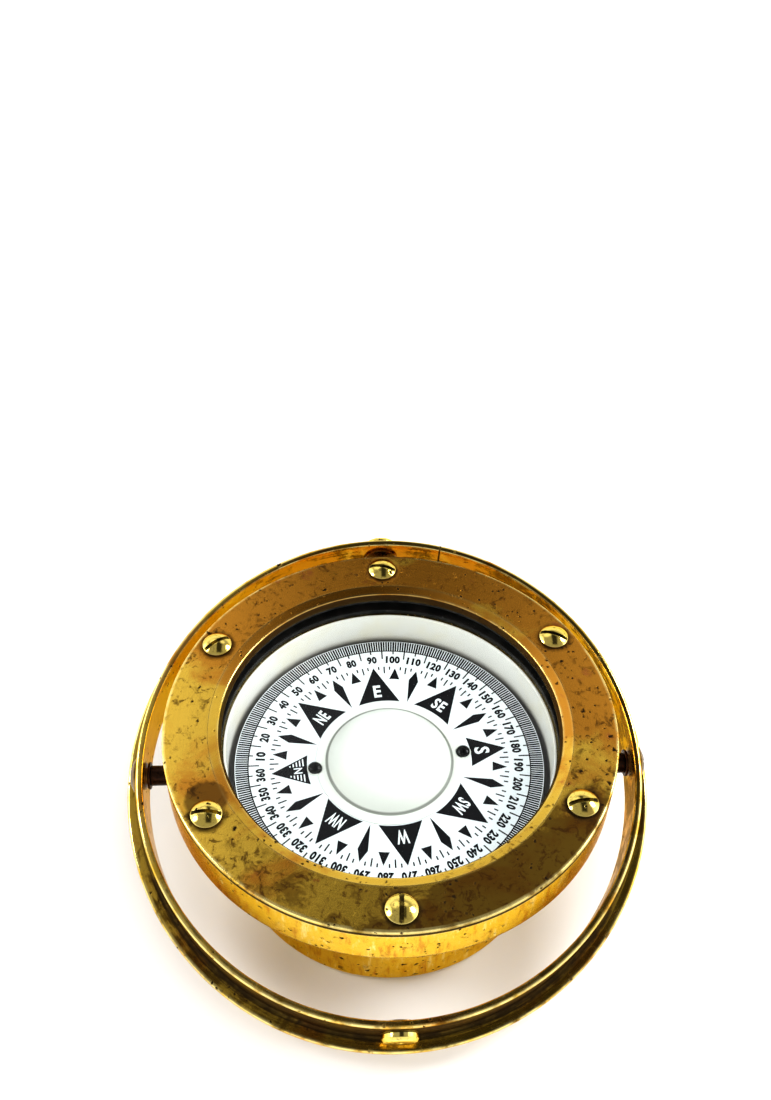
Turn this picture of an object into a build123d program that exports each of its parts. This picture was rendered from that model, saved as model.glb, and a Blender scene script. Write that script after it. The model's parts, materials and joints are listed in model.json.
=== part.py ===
from build123d import *
import math
import os

# Gimballed liquid boat compass: a brass bowl that hangs by two pivots in a gimbal ring.
# Units are millimetres.  The origin is the middle of the bowl's flat bottom, +Z is up, X runs along
# the bowl's pivot axis, and -Y is the front, where the tilted gimbal ring is at its lowest.

# ---- driving dimensions ----
BOWL_HEIGHT = 64.0          # underside of the bowl to the top face of the bezel
BEZEL_R = 66.5              # outside radius of the bezel and of the bowl's flange
OPENING_R = 49.6            # radius of the window in the bezel
BEZEL_T = 1.8               # thickness of the bezel plate at its edge
FLANGE_DROP = 14.7          # bezel's top face to the underside of the bowl's flange
BODY_TOP_R = 52.5           # outside radius of the bowl just under its flange
BODY_BOTTOM_R = 49.5        # outside radius of the bowl at its foot
CARD_R = 47.0               # radius of the compass card
CARD_DROP = 20.5            # bezel's top face to the top face of the card
PIVOT_DROP = 25.1           # bezel's top face to the bowl's pivot axis
RING_IN_R = 74.0            # inner radius of the gimbal ring
RING_OUT_R = 76.2           # outer radius of the ring's web
RING_FLANGE_R = 80.8        # outer radius of the ring's lower flange
RING_UP = 8.2               # web's edge above the pivot axis, along the ring's own axis
RING_DOWN = 9.0             # flange's face below the pivot axis, along the ring's own axis
RING_TILT = 15.2            # degrees: the ring rests with its front down by this much
CARD_HEADING = 185.8        # degrees from +X to the card's north mark, counter-clockwise from above

# ---- heights worked out from them ----
BEZEL_Z = BOWL_HEIGHT - BEZEL_T         # underside of the bezel, top of the bowl's flange
FLANGE_Z = BOWL_HEIGHT - FLANGE_DROP    # underside of the bowl's flange
CARD_Z = BOWL_HEIGHT - CARD_DROP        # top face of the card
PIVOT_Z = BOWL_HEIGHT - PIVOT_DROP      # height of the bowl's pivot axis

# ---- window ----
SEAT_R = 55.6               # recess in the flange that holds the glass and its gaskets
SEAT_Z = 54.0               # floor of that recess
SPIGOT = (55.4, 60.8)       # outer radius and underside of the bezel's spigot, which goes into the recess
GLASS_R = 54.2
GLASS_Z = (55.7, 59.4)      # underside and top of the glass
GASKET_IN_R = 50.1          # inner edge of both rubber gaskets
BEVEL_W = 3.4               # width of the bevel round the window
BEVEL_H = 1.9               # its fall
SCREW_PCD_R = 60.1          # circle of the six bezel screws
SCREW_HEAD_R = 4.4
SCREW_HEAD_H = 2.2
SCREW_SHANK_R = 1.65
SCREW_HOLE_R = 1.75
SLOT_W = 1.2
SCREW_TURNS = (-52, 77, 64, -33, -3, 37)  # degrees each screw's slot is turned from the radius

# ---- inside of the bowl ----
CHAMBER_R = 49.6            # card chamber
LINING_R = (48.9, 49.5)     # white sleeve
LINING_Z = 28.1
STEP_Z = 26.0               # ledge that the chamber floor lies on
LOWER_R = 46.5              # bore under that ledge
WEB_Z = (9.0, 12.0)         # inner rim that the diaphragm is clamped to
WEB_R = 40.0
COVER_R = 45.8
FLOOR_PLATE = (49.4, 26.0, 28.0)

# ---- running parts ----
POST_R = 2.2
WELL_R = (3.4, 4.2)         # hollow middle of the float, inner and outer radius
TIP_Z = 48.6                # point that the jewel turns on
DOME_R = 19.1
DOME_H = 11.5
DOME_T = 0.8
DOME_FLANGE_R = 22.4        # thin rim of the dome, which has an ear for each rivet
DOME_EAR_R = 2.4
BASE_FLANGE_R = 24.4        # rim of the float's lower half
RIVET_ORBIT_R = 22.8
JOURNAL_R = 2.5
RUN = 0.05                  # radial running clearance of the pivots

FRAME_TURN = Rot(RING_TILT, 0, 0)


def solid_of_revolution(points):
    """Turn a closed (radius, height) outline about +Z."""
    face = make_face(Polyline(*[(r, 0, z) for r, z in points], close=True))
    return revolve(face, Axis.Z)


def tube(r_in, r_out, z_low, z_high):
    """Hollow or, with r_in of 0, plain cylinder along Z."""
    body = Pos(0, 0, z_low) * Cylinder(r_out, z_high - z_low, align=(Align.CENTER, Align.CENTER, Align.MIN))
    if r_in > 0:
        body -= Pos(0, 0, z_low - 1) * Cylinder(
            r_in, z_high - z_low + 2, align=(Align.CENTER, Align.CENTER, Align.MIN))
    return body


def along_x(shape):
    """Lay a shape built along +Z along +X, at the height of the pivot axis."""
    return Pos(0, 0, PIVOT_Z) * Rot(0, 90, 0) * shape


def on_ring(shape):
    """Move a shape from the ring's own frame to its tilted rest place."""
    return Pos(0, 0, PIVOT_Z) * FRAME_TURN * shape


def around(count, radius, start=0.0):
    """Places on a circle, each turned so that its own +X points outwards."""
    step = 360.0 / count
    return [Rot(0, 0, start + step * i) * Pos(radius, 0, 0) for i in range(count)]


def dome(radius, height):
    """Round head standing on z = 0: a short straight edge under a spherical cap."""
    edge = 0.25 * height
    cap_h = height - edge
    sphere_r = (radius ** 2 + cap_h ** 2) / (2 * cap_h)
    cap = Pos(0, 0, height - sphere_r) * Sphere(sphere_r)
    return tube(0, radius, 0, edge) + (cap & tube(0, radius, edge, height))


def domed_head(radius, height, slot_w, slot_depth, turn):
    """Round screw head standing on z = 0, with a straight slot turned from +X by some degrees."""
    slot = Pos(0, 0, height - slot_depth) * Rot(0, 0, turn) * Box(
        3 * radius, slot_w, 2 * height, align=(Align.CENTER, Align.CENTER, Align.MIN))
    return dome(radius, height) - slot


# ------------------------------------------------------------------ bowl

def body_radius(z):
    """Outside radius of the tapered bowl at height z."""
    return BODY_BOTTOM_R + (BODY_TOP_R - BODY_BOTTOM_R) * z / FLANGE_Z


def make_bowl_shell():
    foot = 2.0
    shell = solid_of_revolution([
        (0, 0), (BODY_BOTTOM_R - foot, 0), (BODY_BOTTOM_R - 0.6, 0.6), (body_radius(foot), foot),
        (BODY_TOP_R, FLANGE_Z), (BEZEL_R - 0.5, FLANGE_Z), (BEZEL_R, FLANGE_Z + 0.5),
        (BEZEL_R, BEZEL_Z - 0.3), (BEZEL_R - 0.3, BEZEL_Z), (0, BEZEL_Z)])
    for side in (0, 180):
        boss = Rot(0, 0, side) * along_x(tube(0, BOSS_R, BOSS_IN, BOSS_OUT))
        shell += boss
    shell += filler_place() * tube(0, FILLER_BOSS_R, -4, 0)
    shell -= tube(0, SEAT_R, SEAT_Z, BEZEL_Z + 1)
    shell -= tube(0, CHAMBER_R, STEP_Z, SEAT_Z + 1)
    shell -= tube(0, LOWER_R, WEB_Z[1], STEP_Z + 1)
    shell -= tube(0, WEB_R, WEB_Z[0] - 1, WEB_Z[1] + 1)
    shell -= tube(0, COVER_R + 0.1, -1, WEB_Z[0])
    for side in (0, 180):
        shell -= Rot(0, 0, side) * along_x(tube(0, SHANK_R, SHANK_IN, BOSS_OUT + 1))
    shell -= filler_place() * tube(0, FILLER_SHANK_R, -9, 1)
    for place in around(6, SCREW_PCD_R, 30):
        shell -= place * tube(0, SCREW_SHANK_R + 0.02, BEZEL_Z - 8.5, BEZEL_Z + 1)
    for place in around(CLAMP_SCREWS, CLAMP_SCREW_R, 22.5):
        shell -= place * tube(0, CLAMP_SHANK_R + 0.02, WEB_Z[0] - 1, WEB_Z[1] - 0.6)
    for place in around(3, FLOOR_SCREW_R, 30):
        shell -= place * tube(0, FLOOR_SHANK_R + 0.02, STEP_Z - 5.2, STEP_Z + 1)
    return shell


def make_bezel_ring():
    top = BOWL_HEIGHT
    plate = solid_of_revolution([
        (OPENING_R, SPIGOT[1]), SPIGOT, (SPIGOT[0], BEZEL_Z), (BEZEL_R - 0.2, BEZEL_Z), (BEZEL_R, BEZEL_Z + 0.2),
        (BEZEL_R, top - 0.5), (BEZEL_R - 0.5, top), (OPENING_R + BEVEL_W, top), (OPENING_R + 0.3, top - BEVEL_H),
        (OPENING_R, top - BEVEL_H - 0.3)])
    for place in around(6, SCREW_PCD_R, 30):
        plate -= place * tube(0, SCREW_HOLE_R, BEZEL_Z - 1, top + 1)
    return plate


def make_bezel_screws():
    screws = []
    for place, turn in zip(around(6, SCREW_PCD_R, 30), SCREW_TURNS):
        head = Pos(0, 0, BOWL_HEIGHT) * domed_head(SCREW_HEAD_R, SCREW_HEAD_H, SLOT_W, 1.3, turn)
        screws.append(place * (head + tube(0, SCREW_SHANK_R, BEZEL_Z - 8, BOWL_HEIGHT)))
    return Compound(screws)


def make_glass_cover():
    low, high = GLASS_Z
    edge = 0.4
    return solid_of_revolution([
        (0, low), (GLASS_R - edge, low), (GLASS_R, low + edge), (GLASS_R, high - edge),
        (GLASS_R - edge, high), (0, high)])


def make_upper_gasket():
    return tube(GASKET_IN_R, SEAT_R - 0.2, GLASS_Z[1], SPIGOT[1])


def make_lower_gasket():
    """Rubber ring of L section: the glass lies on its foot, inside its wall."""
    out = SEAT_R - 0.1
    return solid_of_revolution([
        (GASKET_IN_R, SEAT_Z), (out, SEAT_Z), (out, GLASS_Z[1]), (GLASS_R + 0.1, GLASS_Z[1]),
        (GLASS_R + 0.1, GLASS_Z[0]), (GASKET_IN_R, GLASS_Z[0])])


def make_bowl_lining():
    return tube(LINING_R[0], LINING_R[1], LINING_Z, SEAT_Z)


def make_lubber_pin():
    """Thin upright wire on the lining, which marks the boat's head."""
    wire_r = 0.45
    return Pos(0, -LINING_R[0] + wire_r, 0) * tube(0, wire_r, CARD_Z - 6, SEAT_Z - 2)


def make_chamber_floor():
    out, low, high = FLOOR_PLATE
    plate = tube(0, out, low, high)
    plate -= tube(0, POST_R, low - 1, high + 1)
    for place in around(4, 30, 45):
        plate -= place * tube(0, 4.0, low - 1, high + 1)
    for place in around(3, FLOOR_SCREW_R, 30):
        plate -= place * tube(0, FLOOR_SHANK_R + 0.1, low - 1, high + 1)
    return plate


def make_floor_screws():
    """Three small screws that hold the chamber floor down on the ledge."""
    screws = []
    for place in around(3, FLOOR_SCREW_R, 30):
        head = Pos(0, 0, FLOOR_PLATE[2]) * domed_head(1.15, 0.9, 0.4, 0.5, 20)
        screws.append(place * (head + tube(0, FLOOR_SHANK_R, STEP_Z - 5, FLOOR_PLATE[2])))
    return Compound(screws)


def make_pivot_post():
    """Post that carries the card: a stem with a collar, threaded through the chamber floor."""
    low, high = FLOOR_PLATE[1], FLOOR_PLATE[2]
    return solid_of_revolution([
        (0, low - 5), (POST_R, low - 5), (POST_R, high), (5.0, high), (5.0, high + 1.6), (3.0, high + 2.6),
        (POST_R, high + 3.4), (POST_R, POST_TOP - 2.0), (1.5, POST_TOP), (0.75, POST_TOP),
        (0.75, POST_TOP - 3.0), (0, POST_TOP - 3.0)])


def make_pivot_nut():
    low = FLOOR_PLATE[1]
    nut = Pos(0, 0, low - 2.6) * extrude(RegularPolygon(4.2, 6), 2.6)
    return nut - tube(0, POST_R, low - 4, low + 1)


def make_pivot_tip():
    """Hard-metal point let into the top of the post."""
    return solid_of_revolution([
        (0, POST_TOP - 3.0), (0.75, POST_TOP - 3.0), (0.75, POST_TOP), (0.12, TIP_Z - 0.05), (0, TIP_Z)])


# ---- pivots of the bowl ----
BOSS_R = 6.5
BOSS_IN = 50.3
BOSS_OUT = 57.0
SHANK_R = 2.2               # thread of the pivot screw
SHANK_IN = 52.4
SPACER = (2.25, 3.05)       # black sleeve, inner and outer radius
WASHER_X = (72.5, 73.3)
WASHER_R = 4.1
BUSH_R = 4.0
PIVOT_HEAD_R = 5.1
PIVOT_HEAD_X = 76.5
PIVOT_HEAD_H = 2.4


def make_pivot_screw(side):
    head = Pos(0, 0, PIVOT_HEAD_X) * domed_head(PIVOT_HEAD_R, PIVOT_HEAD_H, 1.0, 1.0, 25)
    screw = head + tube(0, SHANK_R, SHANK_IN + 0.2, WASHER_X[1]) + tube(0, JOURNAL_R, WASHER_X[1], PIVOT_HEAD_X)
    return Rot(0, 0, side) * along_x(screw)


def make_pivot_spacer(side):
    return Rot(0, 0, side) * along_x(tube(SPACER[0], SPACER[1], BOSS_OUT, WASHER_X[0]))


def make_pivot_washer(side):
    return Rot(0, 0, side) * along_x(tube(SPACER[0], WASHER_R, *WASHER_X))


def make_pivot_bush(side):
    """Bronze bush in the ring's web, on which the pivot screw's journal turns."""
    bush = tube(JOURNAL_R + RUN, BUSH_R - 0.02, RING_IN_R - 0.1, RING_OUT_R)
    return Rot(0, 0, side) * along_x(bush)


# ---- filler ----
FILLER_BOSS_R = 6.5
FILLER_SHANK_R = 3.0
FILLER_AZIMUTH = 52.0
FILLER_Z = 36.0
FILLER_FACE = 54.2


def filler_place():
    """Outer face of the filler boss: its own +Z points out of the bowl."""
    return Rot(0, 0, FILLER_AZIMUTH) * Pos(FILLER_FACE, 0, FILLER_Z) * Rot(0, 90, 0)


def make_filler_washer():
    return filler_place() * tube(FILLER_SHANK_R, 5.4, 0, 0.8)


def make_filler_plug():
    head = Pos(0, 0, 0.8) * domed_head(5.0, 2.2, 1.1, 1.2, 0)
    return filler_place() * (head + tube(0, FILLER_SHANK_R, -3.5, 0.8))


# ---- bottom of the bowl ----
CLAMP_SCREWS = 8
CLAMP_SCREW_R = 43.0
CLAMP_SHANK_R = 1.0
CLAMP_Z = (5.2, 8.4)
COVER_T = 2.2
COVER_SCREW_R = 43.0
BALLAST = (12.0, 36.0, 2.2, 5.6)
FLOOR_SCREW_R = 47.6
FLOOR_SHANK_R = 0.6
POST_TOP = 46.2


def make_expansion_diaphragm():
    """Thin corrugated disc that lets the liquid swell: three round waves and a flat clamped rim."""
    t, low, waves = 0.6, CLAMP_Z[1], 3
    steps = 12 * waves
    span = WEB_R - 6.0
    lower = [(4.0 + span * i / steps, low + 0.9 * math.sin(math.pi * i * waves * 2 / steps) ** 2)
             for i in range(steps + 1)]
    upper = [(r, z + t) for r, z in reversed(lower)]
    return solid_of_revolution(
        [(0, low)] + lower + [(COVER_R - 0.1, low), (COVER_R - 0.1, low + t)] + upper + [(0, low + t)])


def make_clamp_ring():
    ring = tube(WEB_R, COVER_R - 0.1, *CLAMP_Z)
    for place in around(CLAMP_SCREWS, CLAMP_SCREW_R, 22.5):
        ring -= place * tube(0, CLAMP_SHANK_R + 0.02, CLAMP_Z[0] - 1, CLAMP_Z[1] + 1)
    for place in around(4, COVER_SCREW_R, 0):
        ring -= place * tube(0, CLAMP_SHANK_R + 0.02, CLAMP_Z[0] - 1, CLAMP_Z[1] - 0.4)
    return ring


def make_clamp_screws():
    """Screws through the clamp ring and the diaphragm's rim into the bowl."""
    screws = []
    for place in around(CLAMP_SCREWS, CLAMP_SCREW_R, 22.5):
        head = Pos(0, 0, CLAMP_Z[0]) * Rot(180, 0, 0) * domed_head(2.1, 1.2, 0.6, 0.6, 0)
        screws.append(place * (head + tube(0, CLAMP_SHANK_R, CLAMP_Z[0], CLAMP_Z[1])))
    return Compound(screws)


def make_bottom_cover():
    cover = tube(0, COVER_R, 0, COVER_T)
    for place in around(3, 16, 90):
        cover -= place * tube(0, 1.2, -1, COVER_T + 1)
    for place in around(4, COVER_SCREW_R, 0):
        cover -= place * tube(0, CLAMP_SHANK_R + 0.1, -1, COVER_T + 1)
        cover -= place * (Pos(0, 0, -0.01) * Cone(
            2.2, CLAMP_SHANK_R, 1.3, align=(Align.CENTER, Align.CENTER, Align.MIN)))
    return cover


def make_cover_screws():
    """Four countersunk screws, flush with the underside of the cover."""
    screws = []
    for place in around(4, COVER_SCREW_R, 0):
        head = Cone(2.0, CLAMP_SHANK_R, 1.1, align=(Align.CENTER, Align.CENTER, Align.MIN))
        head -= Box(6, 0.5, 1.0)
        screws.append(place * (Pos(0, 0, 0.1) * head + tube(0, CLAMP_SHANK_R, 1.0, CLAMP_Z[1] - 0.6)))
    return Compound(screws)


def make_ballast_weight():
    """Lead ring that keeps the bowl upright in its gimbal."""
    return tube(*BALLAST)


# ------------------------------------------------------------------ card

def on_card(shape):
    """Turn a shape built with north along +X to the card's rest heading."""
    return Rot(0, 0, CARD_HEADING) * shape


CARD_T = 0.5
MAGNET_R = 2.2
MAGNET_L = 44.0
MAGNET_OFF = 11.0
MAGNET_Z = 33.6
FLOAT_LOW = 36.6


def make_compass_card():
    card = tube(17.5, CARD_R, CARD_Z - CARD_T, CARD_Z)
    for side in (-1, 1):
        card -= Pos(side * RIVET_ORBIT_R, 0, 0) * tube(0, 1.0, CARD_Z - 2, CARD_Z + 1)
    return on_card(card)


def make_float_dome():
    """Hollow white dome with a thin rim that lies on the card, and an ear for each rivet."""
    ball_r = (DOME_R ** 2 + DOME_H ** 2) / (2 * DOME_H)
    centre_z = CARD_Z + DOME_H - ball_r
    above = Pos(0, 0, CARD_Z) * Cylinder(30, 30, align=(Align.CENTER, Align.CENTER, Align.MIN))
    cover = Pos(0, 0, centre_z) * Sphere(ball_r)
    cover = (cover & above) + tube(0, DOME_FLANGE_R, CARD_Z, CARD_Z + 0.4)
    for side in (-1, 1):
        cover += Pos(side * RIVET_ORBIT_R, 0, 0) * tube(0, DOME_EAR_R, CARD_Z, CARD_Z + 0.4)
    cover -= Pos(0, 0, centre_z) * Sphere(ball_r - DOME_T)
    for side in (-1, 1):
        cover -= Pos(side * RIVET_ORBIT_R, 0, 0) * tube(0, 1.0, CARD_Z - 2, CARD_Z + 2)
    return on_card(cover)


def make_float_base():
    """Lower half of the float: a dish under the card, with a hollow well up its middle."""
    under = CARD_Z - CARD_T
    well_in, well_out = WELL_R
    base = solid_of_revolution([
        (well_in, FLOAT_LOW), (17.0, FLOAT_LOW), (17.4, under - 0.6), (BASE_FLANGE_R, under - 0.6),
        (BASE_FLANGE_R, under), (16.6, under), (16.2, FLOAT_LOW + 0.8), (well_out, FLOAT_LOW + 0.8),
        (well_out, 47.6), (well_in, 47.6)])
    for side in (-1, 1):
        base -= Pos(side * RIVET_ORBIT_R, 0, 0) * tube(0, 1.0, under - 2, under + 1)
    return on_card(base)


def make_card_rivets():
    """Two black rivets through the dome's ears, the card and the rim of the float's lower half."""
    low = CARD_Z - CARD_T - 0.6
    rivets = []
    for side in (-1, 1):
        top = Pos(0, 0, CARD_Z + 0.4) * dome(2.05, 1.5)
        tail = Pos(0, 0, low) * Rot(180, 0, 0) * tube(0, 1.6, 0, 0.5)
        rivets.append(Pos(side * RIVET_ORBIT_R, 0, 0) * (top + tail + tube(0, 0.98, low, CARD_Z + 0.4)))
    return on_card(Compound(rivets))


def make_jewel_cup():
    """Brass cup that closes the well and holds the jewel, open downwards."""
    cup = tube(0, WELL_R[1], 47.6, 50.4)
    return cup - tube(0, 1.25, 47.0, 49.6)


def make_jewel():
    jewel = tube(0, 1.2, TIP_Z - 0.6, 49.6)
    socket = Pos(0, 0, TIP_Z - 0.7) * Cone(
        0.85, 0.12, 0.85, align=(Align.CENTER, Align.CENTER, Align.MIN))
    return jewel - socket


def make_magnet(side):
    rod = Pos(0, side * MAGNET_OFF, MAGNET_Z) * Rot(0, 90, 0) * Cylinder(MAGNET_R, MAGNET_L)
    return on_card(rod)


def make_magnet_carrier():
    """Two brass strips across the underside of the float, with round seats for the magnets."""
    carrier = None
    for x in (-12.0, 12.0):
        strip = Pos(x, 0, FLOAT_LOW - 0.9) * Box(3.0, 2 * MAGNET_OFF + 7.0, 1.8)
        carrier = strip if carrier is None else carrier + strip
    carrier += tube(WELL_R[0] + 0.2, 6.0, FLOAT_LOW - 1.8, FLOAT_LOW)
    carrier += Pos(0, 0, FLOAT_LOW - 0.9) * Box(24.0, 3.0, 1.8)
    carrier -= tube(0, WELL_R[0] + 0.2, FLOAT_LOW - 3, FLOAT_LOW + 1)
    for side in (-1, 1):
        carrier -= Pos(0, side * MAGNET_OFF, MAGNET_Z) * Rot(0, 90, 0) * Cylinder(MAGNET_R, MAGNET_L)
    return on_card(carrier)


# ------------------------------------------------------------------ gimbal ring

STUB_R = 5.4                # journal of the ring's own pivots
STUB_NECK_R = 5.1           # relief groove between the journal and the ring
STUB_IN = 76.6
STUB_JOURNAL_END = 77.9     # the journal is round and short, and its end is crowned
STUB_OUT = 79.0
STUB_SCREW_R = 2.4
STUB_HEAD_H = 1.7
FLANGE_T = 2.0


def radial_pin(shape, side):
    """Lay a shape built along +Z along the ring's own -Y (side 0) or +Y (side 180)."""
    return on_ring(Rot(0, 0, side) * Rot(90, 0, 0) * shape)


def make_gimbal_ring():
    """Web of the ring with a flange round its lower edge, which stiffens it."""
    low, high = -RING_DOWN, RING_UP
    ring = solid_of_revolution([
        (RING_IN_R, low + 0.3), (RING_IN_R + 0.3, low), (RING_FLANGE_R - 0.4, low), (RING_FLANGE_R, low + 0.4),
        (RING_FLANGE_R, low + FLANGE_T - 0.4), (RING_FLANGE_R - 0.4, low + FLANGE_T),
        (RING_OUT_R + 0.8, low + FLANGE_T), (RING_OUT_R, low + FLANGE_T + 0.8), (RING_OUT_R, high - 0.4),
        (RING_OUT_R - 0.4, high), (RING_IN_R + 0.4, high), (RING_IN_R, high - 0.4)])
    for side in (0, 180):
        ring -= Rot(0, 0, side) * Rot(0, 90, 0) * tube(0, BUSH_R, RING_IN_R - 3, RING_OUT_R + 1)
        ring -= Rot(0, 0, side) * Rot(90, 0, 0) * tube(0, STUB_SCREW_R + 0.02, RING_IN_R - 3, RING_OUT_R + 1)
        ring -= Rot(0, 0, side) * Rot(90, 0, 0) * tube(0, STUB_NECK_R + 0.1, RING_OUT_R - 0.2, RING_FLANGE_R + 2)
    return on_ring(ring)


def make_outer_pivot(side):
    """Stub that the ring turns on in its bearing: a short pin with a crowned end and a centre mark in it."""
    seat = RING_OUT_R - 0.2
    stub = solid_of_revolution([
        (0, seat), (STUB_NECK_R, seat), (STUB_NECK_R, STUB_IN), (STUB_R, STUB_IN), (STUB_R, STUB_JOURNAL_END),
        (STUB_R - 0.2, STUB_OUT - 0.6), (STUB_R - 0.7, STUB_OUT - 0.15), (STUB_R - 1.2, STUB_OUT),
        (0.9, STUB_OUT), (0, STUB_OUT - 0.5)])
    stub -= tube(0, STUB_SCREW_R + 0.01, seat - 1, seat + 1.9)
    return radial_pin(stub, side)


def make_outer_pivot_screw(side):
    """Round-headed screw from inside the ring, which holds the stub."""
    seat = RING_IN_R - 0.25
    head = Rot(180, 0, 0) * domed_head(5.4, STUB_HEAD_H, 1.0, 0.8, 0)
    screw = Pos(0, 0, seat) * head + tube(0, STUB_SCREW_R, seat, RING_OUT_R + 1.5)
    return radial_pin(screw, side)


# ------------------------------------------------------------------ write one file for each node

NODES = {
    "bowl_shell": make_bowl_shell,
    "bezel_ring": make_bezel_ring,
    "bezel_screws": make_bezel_screws,
    "glass_cover": make_glass_cover,
    "upper_gasket": make_upper_gasket,
    "lower_gasket": make_lower_gasket,
    "bowl_lining": make_bowl_lining,
    "lubber_pin": make_lubber_pin,
    "chamber_floor": make_chamber_floor,
    "floor_screws": make_floor_screws,
    "pivot_post": make_pivot_post,
    "pivot_post_nut": make_pivot_nut,
    "pivot_tip": make_pivot_tip,
    "filler_washer": make_filler_washer,
    "filler_plug": make_filler_plug,
    "expansion_diaphragm": make_expansion_diaphragm,
    "diaphragm_clamp_ring": make_clamp_ring,
    "clamp_screws": make_clamp_screws,
    "bottom_cover": make_bottom_cover,
    "cover_screws": make_cover_screws,
    "ballast_weight": make_ballast_weight,
    "compass_card": make_compass_card,
    "float_dome": make_float_dome,
    "float_base": make_float_base,
    "card_rivets": make_card_rivets,
    "jewel_cup": make_jewel_cup,
    "pivot_jewel": make_jewel,
    "magnet_carrier": make_magnet_carrier,
    "gimbal_ring": make_gimbal_ring,
}
SIDED_NODES = {
    "pivot_screw": (make_pivot_screw, {"right": 0, "left": 180}),
    "pivot_spacer": (make_pivot_spacer, {"right": 0, "left": 180}),
    "pivot_washer": (make_pivot_washer, {"right": 0, "left": 180}),
    "pivot_bush": (make_pivot_bush, {"right": 0, "left": 180}),
    "magnet": (make_magnet, {"right": -1, "left": 1}),
    "outer_pivot": (make_outer_pivot, {"front": 0, "back": 180}),
    "outer_pivot_screw": (make_outer_pivot_screw, {"front": 0, "back": 180}),
}


def main():
    os.makedirs("parts", exist_ok=True)
    shapes = {name: make() for name, make in NODES.items()}
    for name, (make, sides) in SIDED_NODES.items():
        for word, side in sides.items():
            shapes[f"{name}_{word}"] = make(side)
    for name, shape in shapes.items():
        export_step(shape, f"parts/{name}.step")


main()
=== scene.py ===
import json
import math

import bmesh
import bpy
from mathutils import Matrix, Vector


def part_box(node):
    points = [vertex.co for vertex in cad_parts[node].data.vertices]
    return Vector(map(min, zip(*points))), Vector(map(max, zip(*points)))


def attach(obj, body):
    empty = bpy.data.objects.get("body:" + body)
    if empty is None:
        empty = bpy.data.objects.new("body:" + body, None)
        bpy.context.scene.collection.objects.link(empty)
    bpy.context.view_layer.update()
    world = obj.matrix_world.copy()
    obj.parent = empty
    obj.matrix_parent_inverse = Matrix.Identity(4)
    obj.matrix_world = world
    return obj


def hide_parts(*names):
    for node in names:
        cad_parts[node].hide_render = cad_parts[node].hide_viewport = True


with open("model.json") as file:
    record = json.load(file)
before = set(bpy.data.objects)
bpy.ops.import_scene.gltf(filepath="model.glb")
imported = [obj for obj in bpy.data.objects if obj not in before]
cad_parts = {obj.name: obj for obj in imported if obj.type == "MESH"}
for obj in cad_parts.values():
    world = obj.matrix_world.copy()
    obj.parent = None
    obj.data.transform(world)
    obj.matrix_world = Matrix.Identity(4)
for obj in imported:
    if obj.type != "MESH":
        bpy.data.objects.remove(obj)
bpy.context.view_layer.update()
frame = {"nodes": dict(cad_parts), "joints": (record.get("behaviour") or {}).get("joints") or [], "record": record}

# The compass in metres, in the CAD's own frame.  Outlines are written in millimetres as (radius, height)
# about +Z, and scaled when a piece is made.
MM = 0.001
record = frame["record"]
joints = {j["name"]: j for j in frame["joints"]}
mounts = {m["name"]: m for m in record["mounts"]}

PIVOT_Z = joints["bowl_pivot"]["pos_m"][2] / MM
ring_front = Vector(mounts["outer_pivot_front"]["axis"])
RING_TILT = math.atan2(-ring_front.z, -ring_front.y)
RING = Matrix.Translation((0, 0, PIVOT_Z)) @ Matrix.Rotation(RING_TILT, 4, "X")
TOP_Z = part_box("bezel_ring")[1].z / MM
BEZEL_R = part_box("bezel_ring")[1].x / MM
FLANGE_TOP_Z = TOP_Z - 1.8              # joint between the bezel and the bowl's flange
FLANGE_LOW_Z = 49.3
OPENING_R = 49.6                        # opening in the bezel, and the bowl's bore
BEZEL_LOW_Z = 60.8                      # underside of the bezel over the window's gasket
SHELF_Z = 54.0                          # shelf in the bowl for the window's seat
GLASS_Z = (55.7, 59.4)
BOSS_R = 6.5                            # bosses on the bowl for the pivots and the filler
PIVOT_R = 2.2                           # shank of the pivot screws
RING_IN_R, RING_OUT_R, RING_FLANGE_R = 74.0, 76.2, 80.8
RING_Z = (-9.0, 8.2)                    # lower and upper edge, about the ring's own middle
CARD_TOP_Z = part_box("compass_card")[1].z / MM
CARD_R = 47.0
FLOAT_HOLE_R = 17.5                     # hole in the card under the dome
RIVET_ORBIT = 22.8
COVER_SCREW_ORBIT = 43.0
CARD_HEADING = math.radians(185.8)      # from +X to the card's north mark, counter-clockwise from above
CARD_TURN = Matrix.Rotation(CARD_HEADING, 4, "Z")
SCREW_ORBIT = 60.1
SCREW_TURNS = (-52, 77, 64, -33, -3, 37)
SCREW_STAIN = (-52.4, -25.2)            # middle of the stain by the left front screw


# ------------------------------------------------------------------ mesh tools

def rounded(corners, steps=4, support=0.5):
    """Closed outline of (radius, height, fillet) corners with each corner turned into an arc."""
    out = []
    for i, (r, z, fillet) in enumerate(corners):
        here = Vector((r, z))
        before = Vector(corners[i - 1][:2]) - here
        after = Vector(corners[(i + 1) % len(corners)][:2]) - here
        if fillet <= 0:
            out.append((r, z))
            continue
        u, v = before.normalized(), after.normalized()
        half = u.angle(v) / 2
        cut = min(fillet / math.tan(half), 0.45 * before.length, 0.45 * after.length)
        radius = cut * math.tan(half)
        centre = here + (u + v).normalized() * radius / math.sin(half)
        start, end = here + u * cut - centre, here + v * cut - centre
        a0 = math.atan2(start.y, start.x)
        turn = (math.atan2(end.y, end.x) - a0 + math.pi) % (2 * math.pi) - math.pi
        if before.length - cut > 3 * support:
            out.append(tuple(here + u * (cut + support)))
        for k in range(steps + 1):
            a = a0 + turn * k / steps
            out.append(tuple(centre + radius * Vector((math.cos(a), math.sin(a)))))
        if after.length - cut > 3 * support:
            out.append(tuple(here + v * (cut + support)))
    return out


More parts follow.
